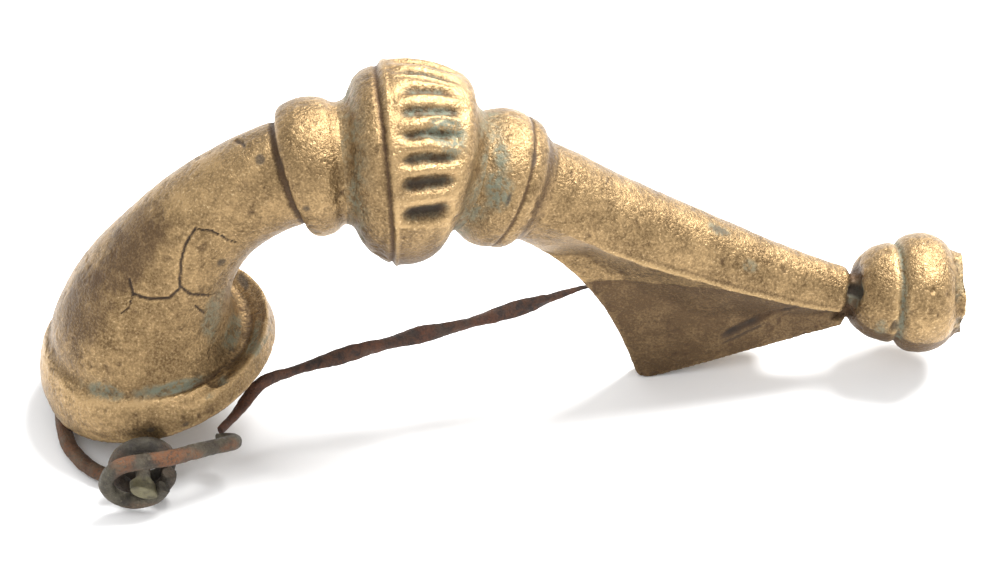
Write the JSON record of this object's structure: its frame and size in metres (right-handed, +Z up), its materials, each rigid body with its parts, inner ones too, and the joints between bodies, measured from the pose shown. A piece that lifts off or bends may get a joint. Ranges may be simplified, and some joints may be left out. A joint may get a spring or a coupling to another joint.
{
  "type": "roman fibula brooch",
  "caption": "Strongly profiled Roman bow brooch: round head plate, trumpet bow with collars and fluted knob, catch-plate, knobbed foot, sprung pin.",
  "frame": {"origin": "middle of the bounding box, on the surface that the brooch stands on", "axes": "+X from the head plate to the foot, +Y across the brooch towards the gutter of the catch-plate, +Z up"},
  "size_m": [0.0672, 0.0258, 0.0282],
  "materials": {
    "bow_bronze": "granular golden-brown corroded bronze, worn bright on the raised grain",
    "spring_bronze": "dull grey-green corroded bronze with rust stains",
    "rusted_iron": "dark reddish-brown rusted iron"
  },
  "bodies": {
    "brooch": {"bow_casting": "bow_bronze", "spring_axle": "spring_bronze", "spring_coils": "spring_bronze"},
    "pin": {"pin_loop": "spring_bronze", "pin": "rusted_iron"}
  },
  "joints": [
    {"name": "pin_hinge", "type": "hinge", "parent": "brooch", "child": "pin", "pos_m": [-0.02649, 0, 0.00252], "axis": [0, 1, 0], "range_deg": [0, 30], "stiffness_Nm_per_rad": 0.004}
  ]
}
